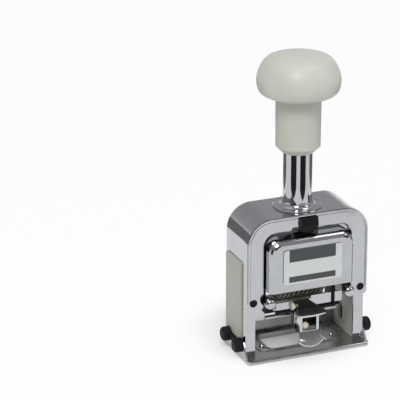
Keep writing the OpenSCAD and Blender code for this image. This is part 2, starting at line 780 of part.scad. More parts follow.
module foot_rails() {
    color([0.1, 0.1, 0.1]) union() {
        translate([rail_x, rail_y, bar_z]) cylinder(r = rail_r, h = rail_top - bar_z, $fn = 32);
        translate([rail_x, rail_y, bar_z]) rotate([-90, 0, 0])
            cylinder(r = rail_r, h = bar_y - rail_y, $fn = 32);
        translate([-foot_w / 2, bar_y, bar_z]) rotate([0, 90, 0])
            cylinder(r = rail_r, h = foot_w / 2 + rail_x + bar_right, $fn = 32);
    }
}

// Channel fixed to the cover's inside, open to the back where the cross plate passes
module rail_guides() {
    y0 = seat + cover_t - cover_front;
    y1 = -foot_y - gap;
    z0 = cover_z + 0.6;
    z1 = plate_z + foot_rise + 4;
    color([0.2, 0.2, 0.21]) difference() {
        translate([rail_x - 1.8, y0, z0]) cube([3.6, y1 - y0, z1 - z0]);
        translate([rail_x, rail_y, z0 - 1]) cylinder(r = rail_r + run, h = z1 - z0 + 2, $fn = 32);
        translate([rail_x - rail_r - run, rail_y, z0 - 1]) cube([2 * (rail_r + run), 3, z1 - z0 + 2]);
    }
}

/* ---- Number wheels ---- */

// Left face of wheel i
function wheel_x(i) = (i - 1) * wheel_pitch - wheels_w / 2 + 0.1;

// One wheel: rim with ten raised printing faces, and a ten-tooth ratchet beside it
module number_wheel(i) {
    core_r = wheel_r - type_h;
    type_l = 2 * core_r * tan(18) - 1.4;
    teeth = [for (k = [0:9], q = [0, 1])
        let (a = 36 * k + q * 33, r = q == 0 ? ratchet_r : ratchet_r - 1.3) r * [cos(a), sin(a)]];
    color([0.16, 0.16, 0.17]) translate([wheel_x(i), 0, axle_z]) {
        along_x(0, rim_t) difference() {
            union() {
                circle(core_r, $fn = 96);
                for (k = [0:9]) rotate(36 * k - 90) translate([-type_l / 2, core_r / 2])
                    square([type_l, wheel_r * cos(13) - core_r / 2]);
            }
            circle(axle_r + run, $fn = 48);
        }
        along_x(rim_t, rim_t + 0.7) difference() {
            polygon(teeth);
            circle(axle_r + run, $fn = 48);
        }
    }
}

/* ---- Feed ---- */

feed_angle = 36;
feed_rest = 8;
feed_x = wheels_w / 2 + 0.5;
yoke_w = 4;
yoke_t = 1.2;
yoke_gap = 1.4;

// Swinging yoke on the axle that carries the feed pawl over the wheels
module feed_arm() {
    r0 = wheel_r + yoke_gap;
    color([0.5, 0.5, 0.52]) translate([0, 0, axle_z]) rotate([-feed_rest, 0, 0]) union() {
        both_sides() difference() {
            along_x(feed_x, feed_x + 1) {
                circle(axle_r + yoke_w / 2, $fn = 32);
                translate([-yoke_w / 2, 0]) square([yoke_w, r0 + yoke_t]);
            }
            rotate([0, 90, 0]) translate([0, 0, feed_x - 1]) cylinder(r = axle_r + run, h = 4, $fn = 48);
        }
        translate([-feed_x - 1, -yoke_w / 2, r0]) cube([2 * feed_x + 2, yoke_w, yoke_t]);
    }
}

// Comb-shaped feed pawl under the yoke
module feed_pawl() {
    r1 = wheel_r + yoke_gap - seat;
    tip_r = ratchet_r + 0.4;
    color([0.42, 0.42, 0.44]) translate([0, 0, axle_z]) rotate([-feed_rest, 0, 0]) union() {
        translate([-wheels_w / 2, -1.4, r1 - 0.8]) cube([wheels_w, 2.8, 0.8]);
        for (i = [1:wheel_count]) translate([wheel_x(i) + rim_t + 0.2, -0.8, tip_r])
            cube([0.5, 1.6, r1 - 0.8 - tip_r + 0.1]);
    }
}

/* ---- Ink pad ---- */

pad_top = axle_z - wheel_r - 0.1;
tray_z = pad_top - pad_t - tray_t;
tray_w = pad_l + 2 * tray_t + 2 * gap;
tray_d = pad_d + 2 * tray_t + gap;
carrier_x = feed_x + 1 + 5.2;
carrier_w = carrier_x + 1;

module ink_pad() {
    color([0.74, 0.72, 0.58]) translate([-pad_l / 2, -pad_d / 2, pad_top - pad_t])
        cube([pad_l, pad_d, pad_t]);
}

// Open tray that holds the pad
module pad_tray() {
    color([0.7, 0.7, 0.71]) difference() {
        translate([-tray_w / 2, -tray_d / 2, tray_z]) cube([tray_w, tray_d, tray_t + pad_t - 1.7]);
        translate([tray_t - tray_w / 2, tray_t - tray_d / 2, tray_z + tray_t])
            cube([tray_w - 2 * tray_t, tray_d - 2 * tray_t, pad_t]);
    }
}

// Swinging cradle: two arms on the axle, a floor, and a lip with a rolled edge
module pad_carrier() {
    floor_z = tray_z - tray_t;
    lip_y = -tray_d / 2 + 0.8;
    lip_z = floor_z - 2.6;
    bead_r = 1.1;
    color([0.72, 0.73, 0.74]) difference() {
        union() {
            both_sides() along_x(carrier_x, carrier_x + 1) {
                translate([0, axle_z]) circle(axle_r + 2.4, $fn = 40);
                polygon([[-axle_r - 1.6, axle_z], [-tray_d / 2, tray_z + 2.6], [-tray_d / 2, floor_z],
                    [tray_d / 2, floor_z], [tray_d / 2, tray_z + 2.6], [axle_r + 1.6, axle_z]]);
            }
            translate([-carrier_w, -tray_d / 2, floor_z]) cube([2 * carrier_w, tray_d, tray_t]);
            translate([-carrier_w, lip_y, lip_z]) cube([2 * carrier_w, 0.8, floor_z - lip_z + 0.1]);
            translate([-carrier_w, lip_y, lip_z]) rotate([0, 90, 0])
                cylinder(r = bead_r, h = 2 * carrier_w, $fn = 32);
        }
        translate([-carrier_w - 1, 0, axle_z]) rotate([0, 90, 0])
            cylinder(r = axle_r + run, h = 2 * carrier_w + 2, $fn = 48);
    }
}

/* ---- Presser foot ---- */

grip_z = plate_z - 4.7;
grip_front = cover_front - cover_t - gap;
grip_x = -0.6 - grip_top;
boss_y = boss_r - grip_front + 0.05;
boss_z = grip_z + grip_h - boss_r - 0.8;
bracket_y = -17.8;
bracket_d = 5.4;
bracket_flare = 3;
neck_z = foot_lift + 7.4;
tongue_lean = 4.3;
pin_y = bracket_y + 2;
pin_z = foot_lift + 10.6;

// Cross plate with a groove for the rod and a slot behind the grip
module foot_plate() {
    color([0.74, 0.75, 0.76]) difference() {
        along_y(-foot_y, foot_t - foot_y) translate([-foot_w / 2, plate_z]) round_rect(foot_w, foot_h, 0.8);
        translate([rail_x, rail_y, plate_z - 1]) cylinder(r = rail_r + seat, h = foot_h + 2, $fn = 32);
        translate([grip_x - 2, -foot_y - 1, boss_z - boss_r - 0.2])
            cube([6, foot_t + 2, 2 * boss_r + 0.4]);
    }
}

// Outline of the grip from the front: narrow above, flaring out to the lower right
module grip_outline() {
    low_x = grip_x + grip_skew;
    tip = [low_x + grip_low, grip_z + 0.7];
    mid = [low_x + grip_low * 0.54, grip_z + grip_h * 0.62];
    top = [grip_x + grip_top, grip_z + grip_h];
    polygon(concat([[grip_x, grip_z + grip_h], [low_x, grip_z], [tip[0] - 2.4, grip_z]],
        [for (i = [0:8]) let (t = i / 8) (1 - t) * (1 - t) * tip + 2 * t * (1 - t) * mid + t * t * top]));
}

// Side profile of the grip, its front face in by d
module grip_profile(d) {
    h = grip_z + grip_h;
    polygon([[-foot_y - seat, h], [-foot_y - 0.4, h], [-grip_front + 1.1 + d, h - 2],
        [-grip_front + 0.3 + d, h - 4.6], [-grip_front + d, grip_z + 1.4], [-grip_front + 0.3 + d, grip_z],
        [bracket_y + bracket_d, grip_z], [bracket_y + bracket_d, plate_z - seat],
        [-foot_y - seat, plate_z - seat]]);
}

// Black thumb grip on the cross plate, its grooves fanning out downwards
module foot_grip() {
    w = foot_w / 2;
    color([0.08, 0.08, 0.09]) difference() {
        union() {
            along_x(-w, w) grip_profile(0.5);
            difference() {
                along_x(-w, w) grip_profile(0);
                for (i = [0:grip_grooves - 1]) let (k = (i + 0.5) / grip_grooves)
                    along_y(-grip_front - 1, -foot_y - 0.1)
                    grip_groove(grip_x + 0.4 + k * (grip_top - 0.8),
                        grip_x + grip_skew + 0.4 + k * (grip_low - 1));
            }
        }
        along_y(-grip_front - 1, bracket_y + bracket_d + 1) difference() {
            translate([-w - 1, grip_z - 1]) square([2 * w + 2, grip_h + 2]);
            grip_outline();
        }
        translate([grip_x - 1, boss_y, boss_z]) rotate([0, 90, 0])
            cylinder(r = boss_r / 2 + seat, h = 4, $fn = 32);
        translate([-w, bar_y, bar_z]) rotate([0, 90, 0])
            cylinder(r = rail_r + seat, h = 2 * w, $fn = 32);
    }
}

// One groove from x1 at the grip's upper end to x0 at its lower edge
module grip_groove(x1, x0) {
    polygon([[x0 - 0.3, grip_z - 1], [x0 + 0.3, grip_z - 1], [x1 + 0.2, grip_z + grip_h - 0.6],
        [x1 - 0.2, grip_z + grip_h - 0.6]]);
}

// Pale boss pressed into the grip's upper end
module grip_boss() {
    color([0.86, 0.84, 0.72]) union() {
        translate([grip_x - 1.4, boss_y, boss_z]) rotate([0, 90, 0])
            cylinder(r = boss_r, h = 1.4 - seat, $fn = 40);
        translate([grip_x - 1, boss_y, boss_z]) rotate([0, 90, 0])
            cylinder(r = boss_r / 2, h = 3.6, $fn = 32);
    }
}

// Outline of the bracket from above, in by d: it widens towards the back
module bracket_plan(d) {
    w = bracket_w / 2 - d;
    y0 = bracket_y + d;
    y1 = bracket_y + bracket_d;
    polygon([[-w, y0], [w, y0], [w + bracket_flare, y1], [-w - bracket_flare, y1]]);
}

// Bent bracket under the grip: flange, window, splayed sides and a bell-shaped tongue
module foot_bracket() {
    w = bracket_w / 2;
    top = grip_z - seat;
    low_x = grip_x + grip_skew;
    rim = [low_x - 0.2, low_x + grip_low - 0.4];
    rim_r = 18;
    rim_c = (rim[0] + rim[1]) / 2;
    rim_a = asin((rim[1] - rim[0]) / 2 / rim_r);
    color([0.75, 0.76, 0.77]) union() {
        translate([0, 0, top - foot_t]) linear_extrude(foot_t) polygon(concat(
            arc([rim_c, rim_r - grip_front], rim_r, 270 - rim_a, 270 + rim_a, 12),
            [[rim[1], bracket_y + bracket_d], [rim[0], bracket_y + bracket_d]]));
        difference() {
            translate([0, 0, neck_z]) linear_extrude(top - 0.3 - neck_z) difference() {
                bracket_plan(0);
                translate([0, 0.02]) bracket_plan(foot_t);
                translate([-w - 9, bracket_y + bracket_d - 0.01]) square([2 * w + 18, 1]);
            }
            along_y(bracket_y - 1, bracket_y + foot_t + 1) translate([1.4 - w, neck_z + 0.8])
                square([2 * w - 2.8, top - foot_t - neck_z - 1.6]);
            along_x(-w - 9, w + 9) polygon([[bracket_y + foot_t, neck_z - 1],
                [bracket_y + bracket_d + 1, top - 5], [bracket_y + bracket_d + 1, neck_z - 1]]);
            translate([-w - 9, pin_y, pin_z]) rotate([0, 90, 0])
                cylinder(r = 0.8 + seat, h = 2 * w + 18, $fn = 32);
        }
        intersection() {
            along_y(bracket_y - 6, bracket_y + 3) polygon(concat(
                [[-w, neck_z + 0.5], [-w - 0.2, neck_z - 2.2]],
                arc([0, foot_lift + 12], 12, 270 - asin(tongue_w / 24), 270 + asin(tongue_w / 24), 12),
                [[w + 0.2, neck_z - 2.2], [w, neck_z + 0.5]]));
            along_x(-w - 3, w + 3) polygon([
                [bracket_y, neck_z + 0.5], [bracket_y + foot_t, neck_z + 0.5],
                [bracket_y + foot_t - tongue_lean, foot_lift - 0.5],
                [bracket_y - tongue_lean, foot_lift - 0.5]]);
        }
    }
}

// Black block inside the bracket, between its sides and behind the pin
module foot_block() {
    y0 = pin_y + 2.3;
    y1 = bracket_y + bracket_d - 0.1;
    w0 = bracket_w / 2 - foot_t - 0.1;
    lean = bracket_flare / (bracket_d - foot_t);
    wide = [for (y = [y0, y1]) w0 + lean * (y - bracket_y - foot_t)];
    color([0.08, 0.08, 0.09]) difference() {
        translate([0, 0, neck_z + 1.4]) linear_extrude(grip_z - 2 * seat - foot_t - neck_z - 1.4)
            polygon([[-wide[0], y0], [wide[0], y0], [wide[1], y1], [-wide[1], y1]]);
        along_x(-bracket_w, bracket_w) polygon([[y0 - 1, neck_z], [y1 + 1, neck_z + 4],
            [y1 + 1, neck_z]]);
    }
}

// Cross pin between the bracket's sides
module bracket_pin() {
    l = bracket_w + 4;
    color([0.7, 0.7, 0.72]) translate([-l / 2, pin_y, pin_z]) rotate([0, 90, 0])
        cylinder(r = 0.8, h = l, $fn = 32);
}

// Pale barrel-shaped buffer on the pin, seen through the bracket's window
module foot_buffer() {
    color([0.86, 0.84, 0.72]) translate([-1.8, pin_y, pin_z]) rotate([0, 90, 0])
        rotate_extrude($fn = 40) polygon(concat([[0.8 + seat, -1.95]],
            arc([-0.3, 0], 2.3, -58, 58, 10), [[0.8 + seat, 1.95]]));
}

casing();
front_plate();
base_pan();
window_plate();
window_rivets();
front_screws();
guide_tube();
tube_nut();
side_guide_left();
side_guide_right();
bumper_left();
bumper_right();
lock_lever();
lock_slider();
knob();
handle_sleeve();
plunger_rod();
rod_nut();
return_spring();
inner_frame();
front_cover();
rear_cover();
cover_screws();
label_plate();
cover_studs();
wheel_axle();
axle_clips();
detent_comb();
comb_bar();
foot_rails();
rail_guides();
feed_arm();
feed_pawl();
pad_carrier();
pad_tray();
ink_pad();
foot_plate();
foot_grip();
grip_boss();
foot_bracket();
foot_block();
bracket_pin();
foot_buffer();
for (i = [1:wheel_count]) number_wheel(i);
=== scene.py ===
# %% [markdown]
# # A desk numbering machine
# This notebook dresses a finished model of a hand numbering machine: an arched chromed frame, a unit of
# number wheels, and a pale mushroom knob on a sprung plunger. The solids come from the CAD frame, in
# metres, and stay as they are. Added here are the finish of every piece, with the small marks that turning,
# pressing and moulding leave, the figures on the wheels and the rolled rim of the foot's tongue. Two solids
# get a copy that stands for them: a return spring, and a cross plate with a step.

# %% Load the frame
import json
import math

import bmesh
import bpy
from mathutils import Matrix, Vector


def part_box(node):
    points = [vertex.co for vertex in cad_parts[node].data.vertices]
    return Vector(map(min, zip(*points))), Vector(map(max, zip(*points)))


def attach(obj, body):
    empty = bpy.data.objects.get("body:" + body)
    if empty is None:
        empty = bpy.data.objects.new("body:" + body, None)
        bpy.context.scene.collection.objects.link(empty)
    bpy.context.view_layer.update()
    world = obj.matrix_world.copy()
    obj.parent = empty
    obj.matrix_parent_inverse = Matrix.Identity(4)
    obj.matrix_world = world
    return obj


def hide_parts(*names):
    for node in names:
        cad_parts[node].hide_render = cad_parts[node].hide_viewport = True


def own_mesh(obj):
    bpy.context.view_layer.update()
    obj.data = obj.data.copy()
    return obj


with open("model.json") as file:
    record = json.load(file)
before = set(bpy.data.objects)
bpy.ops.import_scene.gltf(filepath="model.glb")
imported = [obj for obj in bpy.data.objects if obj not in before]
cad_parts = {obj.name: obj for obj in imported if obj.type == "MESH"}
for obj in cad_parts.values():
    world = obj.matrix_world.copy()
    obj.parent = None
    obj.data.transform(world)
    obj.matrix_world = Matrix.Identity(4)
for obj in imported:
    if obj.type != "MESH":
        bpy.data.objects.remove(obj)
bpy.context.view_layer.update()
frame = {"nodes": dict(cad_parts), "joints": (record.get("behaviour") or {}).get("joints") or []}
nodes = frame["nodes"]
MM = 0.001

# %% [markdown]
# ## Camera
# The machine is seen from its front left and from a little above, through a long lens, so that its upright
# edges stay nearly parallel. The camera's place comes from an azimuth, an elevation and a distance round an
# aim point. That point lies left of the machine, which stands right of the picture's middle. A constraint
# could aim the camera, but a matrix is exact: its columns are the picture's right, its up and its back.

# %% Camera
AZIMUTH, ELEVATION, ROLL = (math.radians(angle) for angle in (-21.7445, 21.1289, -0.171))
DISTANCE = 1237.323 * MM
AIM_RIGHT, AIM_UP = -51.459 * MM, 82.9526 * MM
PICTURE_W_PX, FOCAL_PX = 400, 2337.957
SENSOR_W = 36.0
CLIP_END = 20.0

back = Vector((math.sin(AZIMUTH) * math.cos(ELEVATION), -math.cos(AZIMUTH) * math.cos(ELEVATION),
               math.sin(ELEVATION)))
right = Vector((math.cos(AZIMUTH), math.sin(AZIMUTH), 0))
up = back.cross(right)
aim = right * AIM_RIGHT + Vector((0, 0, AIM_UP))
rolled_right = right * math.cos(ROLL) + up * math.sin(ROLL)
rolled_up = up * math.cos(ROLL) - right * math.sin(ROLL)

camera = bpy.data.objects.new("camera", bpy.data.cameras.new("camera"))
bpy.context.collection.objects.link(camera)
camera.data.sensor_width = SENSOR_W
camera.data.lens = SENSOR_W * FOCAL_PX / PICTURE_W_PX
camera.data.clip_end = CLIP_END
heading = Matrix((rolled_right, rolled_up, back)).transposed().to_4x4()
camera.matrix_world = Matrix.Translation(aim + back * DISTANCE) @ heading
bpy.context.scene.camera = camera
print("lens", round(camera.data.lens, 1), "mm, distance", round(DISTANCE, 3), "m")

# %% [markdown]
# ## Shader maths
# A shader is a tree of nodes, and wiring one by hand hides the idea. The small class below wraps one socket
# and overloads + - * < > and abs, so that a mask can be written as an ordinary sum. A second class makes
# any node of a tree from its type, its settings and the values or links of its sockets. A third one, for a
# material, adds the patterns that the finishes share: noise on the piece's own coordinates, a mix of two
# colours, and a bump.

# %% A socket with arithmetic
class Value:
    def __init__(self, tree, socket):
        self.tree, self.socket = tree, socket

    def math(self, operation, first, second):
        node = self.tree.nodes.new("ShaderNodeMath")
        node.operation = operation
        for number, item in enumerate((first, second)):
            if isinstance(item, Value):
                self.tree.links.new(item.socket, node.inputs[number])
            elif item is not None:
                node.inputs[number].default_value = item
        return Value(self.tree, node.outputs[0])

    def __add__(self, other):
        return self.math("ADD", self, other)

    def __radd__(self, other):
        return self.math("ADD", other, self)

    def __sub__(self, other):
        return self.math("SUBTRACT", self, other)

    def __rsub__(self, other):
        return self.math("SUBTRACT", other, self)

    def __mul__(self, other):
        return self.math("MULTIPLY", self, other)

    def __rmul__(self, other):
        return self.math("MULTIPLY", other, self)

    def __lt__(self, other):
        return self.math("LESS_THAN", self, other)

    def __gt__(self, other):
        return self.math("GREATER_THAN", self, other)

    def __abs__(self):
        return self.math("ABSOLUTE", self, None)


print("socket arithmetic ready")

# %% A tree and its nodes
class Graph:
    def __init__(self, tree):
        self.tree = tree

    def add(self, kind, settings=None, sockets=None, output=0):
        node = self.tree.nodes.new("ShaderNode" + kind)
        for key, value in (settings or {}).items():
            if key == "stops":
                ramp = node.color_ramp.elements
                while len(ramp) < len(value):
                    ramp.new(0.5)
                for stop, (place, colour) in zip(ramp, value):
                    stop.position, stop.color = place, (*colour, 1)
            else:
                setattr(node, key, value)
        for key, value in (sockets or {}).items():
            self.plug(node.inputs[key], value)
        return Value(self.tree, node.outputs[output])

    def plug(self, socket, value):
        if isinstance(value, Value):
            self.tree.links.new(value.socket, socket)
        else:
            socket.default_value = value


print("node maker ready")

# %% A finish and its patterns
NOISE_LOW, NOISE_HIGH = 0.3, 0.7


class Finish(Graph):
    def __init__(self, name, **constants):
        self.material = bpy.data.materials.new(name)
        self.material.use_nodes = True
        super().__init__(self.material.node_tree)
        self.shader = self.tree.nodes["Principled BSDF"]
        self.set(**constants)

    def axes(self):
        spot = self.add("TexCoord", output="Object")
        return [self.add("SeparateXYZ", sockets={"Vector": spot}, output=k) for k in range(3)]

    def noise(self, size_mm, detail=2.0, stretch=(1, 1, 1), roughness=0.5):
        spot = self.add("TexCoord", output="Object")
        scale = tuple(share / (size_mm * MM) for share in stretch)
        place = self.add("Mapping", sockets={"Vector": spot, "Scale": scale})
        return self.add("TexNoise", sockets={"Vector": place, "Scale": 1.0, "Detail": detail,
                                             "Roughness": roughness})

    def between(self, noise, low, high):
        return self.add("MapRange", sockets={0: noise, 1: NOISE_LOW, 2: NOISE_HIGH, 3: low, 4: high})

    def mix(self, factor, first, second):
        first, second = (item if isinstance(item, Value) else (*item, 1) for item in (first, second))
        return self.add("Mix", {"data_type": "RGBA"}, {0: factor, 6: first, 7: second}, output=2)

    def bump(self, height, depth_mm):
        normal = self.add("Bump", sockets={"Height": height, "Distance": depth_mm * MM, "Strength": 1.0})
        self.plug(self.shader.inputs["Normal"], normal)

    def set(self, **links):
        for socket, value in links.items():
            self.plug(self.shader.inputs[socket.replace("_", " ")], value)
        return self.material


print("shader helpers ready")

# %% [markdown]
# ## Chromed sheet
# The casing, the front plate and the cover are pressed steel with bright chrome over it. Chrome is darker
# than silver: it gives back a little over half of the light, with a trace of blue. Pressed sheet is never
# quite flat, so a very slow, shallow wave bends its reflections. Handling leaves a faint haze, and wiping
# leaves hairlines that all run one way. A picture of scratches could carry both, but noises bake as well
# and need no unwrapping. The drawn tube is smoother. The rim of the foot is duller, and its paler colour is
# a painted highlight.

# %% Chrome
HAZE_MM, WAVE_MM, HAIR_MM = 9.0, 16.0, 0.35
EVEN_SHARE, CLOUD_SHARE, HAIR_SHARE = 0.45, 0.35, 0.20
HAZE_DARKER = 0.94


def chrome(name, colour=(0.52, 0.53, 0.55), haze=0.11, wave=0.02, hairs=(1, 1, 0.04)):
    finish = Finish(name, Metallic=1.0)
    cloud = finish.between(finish.noise(HAZE_MM, 3.0), 0.0, 1.0)
    slow = finish.noise(WAVE_MM, 1.0)
    hair = finish.between(finish.noise(HAIR_MM, 2.0, hairs), 0.0, 1.0)
    tint = finish.mix(cloud, colour, tuple(HAZE_DARKER * channel for channel in colour))
    finish.bump(slow, wave)
    marks = EVEN_SHARE + CLOUD_SHARE * cloud + HAIR_SHARE * hair
    return finish.set(Base_Color=tint, Roughness=haze * marks)


CHROME = chrome("bright_chrome")
COVER_CHROME = chrome("pressed_cover_chrome", (0.49, 0.50, 0.515), haze=0.13, wave=0.05, hairs=(0.04, 1, 1))
TUBE_CHROME = chrome("drawn_tube_chrome", haze=0.05, wave=0.004)
# The rim's paler colour is a painted highlight. Its higher roughness gives it a softer finish.
RIM_CHROME = chrome("rim_chrome_painted_highlight", (0.88, 0.89, 0.90), haze=0.35, wave=0.0)
print("chrome finishes made")

# %% [markdown]
# ## Plain steel
# The base is plated steel, and the small and hidden pieces are plain or blackened steel. Rolling and
# turning leave a grain that runs one way, and only the spring steel's has no direction. An anisotropic
# shader could show it, but a stretched noise in the roughness and in a faint bump can be baked, and keeps
# its looks outside Blender.

# %% Steel
GRAIN_MM, PATCH_MM = 0.5, 7.0
GRAIN_DEPTH_MM = 0.012
PATCH_DARKER = 0.82


def steel(name, colour, stretch, rough=(0.28, 0.45)):
    finish = Finish(name, Metallic=1.0)
    grain = finish.noise(GRAIN_MM, 3.0, stretch)
    patch = finish.between(finish.noise(PATCH_MM, 2.0), 0.0, 1.0)
    tint = finish.mix(patch, colour, tuple(PATCH_DARKER * channel for channel in colour))
    finish.bump(grain, GRAIN_DEPTH_MM)
    return finish.set(Base_Color=tint, Roughness=finish.between(grain, *rough))


STEEL = steel("rolled_steel", (0.48, 0.48, 0.49), (1, 0.08, 1))
ROD_STEEL = steel("turned_steel", (0.52, 0.52, 0.54), (0.1, 0.1, 1))
SPRING_STEEL = steel("spring_steel", (0.26, 0.26, 0.28), (1, 1, 1))
BASE_STEEL = steel("plated_base_steel", (0.52, 0.525, 0.53), (0.06, 1, 1), (0.24, 0.36))
BLUED_STEEL = steel("blackened_frame_steel", (0.045, 0.045, 0.05), (1, 0.1, 1), (0.35, 0.5))
print("steel finishes made")

# %% [markdown]
# ## Carrier and bracket
# The pad's carrier is near-black above its front lip. This black is painted shade for the dark inside of
# the machine under the cover, and only the lip is bright chrome. Painting its faces one by one would part
# them, but a mask on height does it for the whole solid. The bracket of the foot is bright all over, and
# its tongue is dished, so that its reflection runs from dark to light. The dish could be modelled, but it
# changes the reflection and not the outline, so a slow bump over the tongue's height and width does it.

# %% Lip of the carrier
LIP_H = 3.55 * MM
carrier_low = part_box("pad_carrier")[0]
lip = Finish("carrier_painted_shade_and_chrome", Specular_IOR_Level=0.15)
bright = lip.axes()[2] < carrier_low[2] + LIP_H
grain = lip.between(lip.noise(0.6, 3.0), 0.0, 1.0)
lip.bump(grain, 0.006)
# Above the lip the near-black colour is painted shade. The lip itself is chrome.
CARRIER_WITH_PAINTED_SHADE = lip.set(Base_Color=lip.mix(bright, (0.02, 0.02, 0.022), (0.74, 0.75, 0.76)), Metallic=bright,
                  Roughness=0.42 - 0.22 * bright + 0.05 * grain)
print("bright lip is", round(LIP_H / MM, 2), "mm high")

# %% Dished tongue
DISH_TOP_Z, DISH_FOOT_Z = 14.0 * MM, 6.6 * MM
DISH_DOWN_MM, DISH_ACROSS_MM_PER_M2 = 1.6, 14000
HAZE_TO_TINT = 5
tongue = Finish("dished_tongue_chrome", Metallic=1.0)
x, _, z = tongue.axes()
drop = tongue.add("MapRange", sockets={0: z, 1: DISH_TOP_Z, 2: DISH_FOOT_Z, 3: 0.0, 4: 1.0})
haze = tongue.between(tongue.noise(5.0, 3.0), 0.06, 0.12)
tongue.bump(drop * drop * DISH_DOWN_MM + x * x * (DISH_ACROSS_MM_PER_M2 * drop), 1.0)
tint = tongue.mix(haze * HAZE_TO_TINT, (0.60, 0.61, 0.625), (0.52, 0.53, 0.545))
TONGUE = tongue.set(Base_Color=tint, Roughness=haze)
print("tongue is dished over", round((DISH_TOP_Z - DISH_FOOT_Z) / MM, 1), "mm of its height")

# %% [markdown]
# ## Moulded plastic and rubber
# The knob, its sleeve and the side guides are moulded in a warm pale grey. The surface is a soft gloss with
# a fine orange-peel grain, which a tiny bump gives without one more face. The bumpers are matt black
# rubber, and the same recipe serves for pale nylon and for blackened screws and wire. The foot's wire along
# the cross plate is black, and partly painted shade for the dark gap under the plate. The flanks of the
# thumb grip's ribs are painted lighter in streaks, a painted highlight that shows the ribs. It could be a
# layer of its own, but a mask on how far a face looks sideways is enough.

# %% Plastics and rubber
AGEING_MM = 14.0
AGED_DARKER, AGED_ROUGHER = 0.95, 0.05


def moulded(name, colour, rough, grain_mm=0.35, peel_mm=0.01, gloss=0.5):
    finish = Finish(name, Specular_IOR_Level=gloss)
    cloud = finish.noise(AGEING_MM, 2.0)
    fine = finish.noise(grain_mm, 2.0)
    aged = tuple(AGED_DARKER * channel for channel in colour)
    finish.bump(fine, peel_mm)
    return finish.set(Base_Color=finish.mix(finish.between(cloud, 0.0, 1.0), colour, aged),
                      Roughness=finish.between(cloud, rough - AGED_ROUGHER, rough + AGED_ROUGHER))


KNOB_IVORY = moulded("knob_ivory", (0.555, 0.555, 0.507), 0.42, gloss=0.45)
SLEEVE_IVORY = moulded("sleeve_ivory", (0.535, 0.535, 0.475), 0.48, gloss=0.35)
GUIDE_IVORY = moulded("guide_ivory", (0.47, 0.475, 0.42), 0.5, gloss=0.35)
BLACK_PLASTIC = moulded("black_plastic", (0.007, 0.007, 0.008), 0.42, grain_mm=0.5, peel_mm=0.02, gloss=0.25)
RUBBER = moulded("black_rubber", (0.008, 0.008, 0.009), 0.6, grain_mm=0.25, peel_mm=0.03, gloss=0.2)
NYLON = moulded("pale_nylon", (0.62, 0.58, 0.44), 0.4)
# The same black is on the foot's rails. Along the cross plate it is partly painted shade for the dark gap
# under the plate.
BLACKED = moulded("blackened_screw", (0.005, 0.005, 0.006), 0.5, grain_mm=0.6, gloss=0.15)
print("plastics, rubber and nylon made")

# %% Grip with a painted highlight on its rib flanks
grip = Finish("ribbed_grip_plastic", Specular_IOR_Level=0.3, Roughness=0.42)
sideways = abs(grip.add("SeparateXYZ", sockets={0: grip.add("NewGeometry", output="Normal")}))
rib_highlight_streaks = grip.noise(2.0, 3.0, (1, 0.3, 1))
# The rib flanks are painted lighter in streaks. This is a painted highlight.
GRIP = grip.set(Base_Color=grip.mix(sideways * grip.between(rib_highlight_streaks, 0.5, 1.0), (0.006, 0.006, 0.007),
                                    (0.10, 0.10, 0.105)))
print("grip made")

# %% [markdown]
# ## Felt
# The ink pad is a dense felt, seen as a pale edge. Hair could stand for its fibres, but at this size two
# noises are enough, a fine one for the fibres and a coarse one for the clumps, with a little sheen.

# %% Felt
felt = Finish("pad_felt", Roughness=0.95, Sheen_Weight=0.3)
fibres = felt.noise(0.22, 4.0, (1, 1, 0.5), 0.7)
clumps = felt.noise(1.6, 2.0)
felt.bump(fibres, 0.12)
FELT = felt.set(Base_Color=felt.mix(felt.between(fibres * 0.6 + clumps * 0.4, 0.0, 1.0), (0.88, 0.84, 0.66),
                                    (0.66, 0.62, 0.48)))
print("felt made")

# %% [markdown]
# ## Number wheels
# Each wheel is a blackened rim that carries the figures, beside a thin ratchet of pale brass. Both are one
# solid, so the brass is a mask on the place across the wheels, counted from each wheel's left face.
# Painting the faces one by one would do the same, but a modulo serves all ten wheels at once. The rim's
# left edge is bare brass too, except for the outer face of the first wheel. The figures are rubbed paler at
# their printing faces, which is a mask on the distance from the axle. Spare pitches are added before the
# modulo, so that it never works on a number below 0.

# %% Wheels
wheel_low, wheel_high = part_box("number_wheel_1")
WHEEL_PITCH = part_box("number_wheel_2")[0][0] - wheel_low[0]
RATCHET_W, BARE_EDGE_W = 0.7 * MM, 0.45 * MM
FIRST_FACE, RATCHET_FACE = 0.05 * MM, 0.02 * MM
RUBBED_FROM, RUBBED_TO = 0.24 * MM, 0.14 * MM
SPARE_PITCHES = 20
RIM_W = wheel_high[0] - wheel_low[0] - RATCHET_W
AXLE_Z = (wheel_low[2] + wheel_high[2]) / 2
WHEEL_R = (wheel_high[2] - wheel_low[2]) / 2


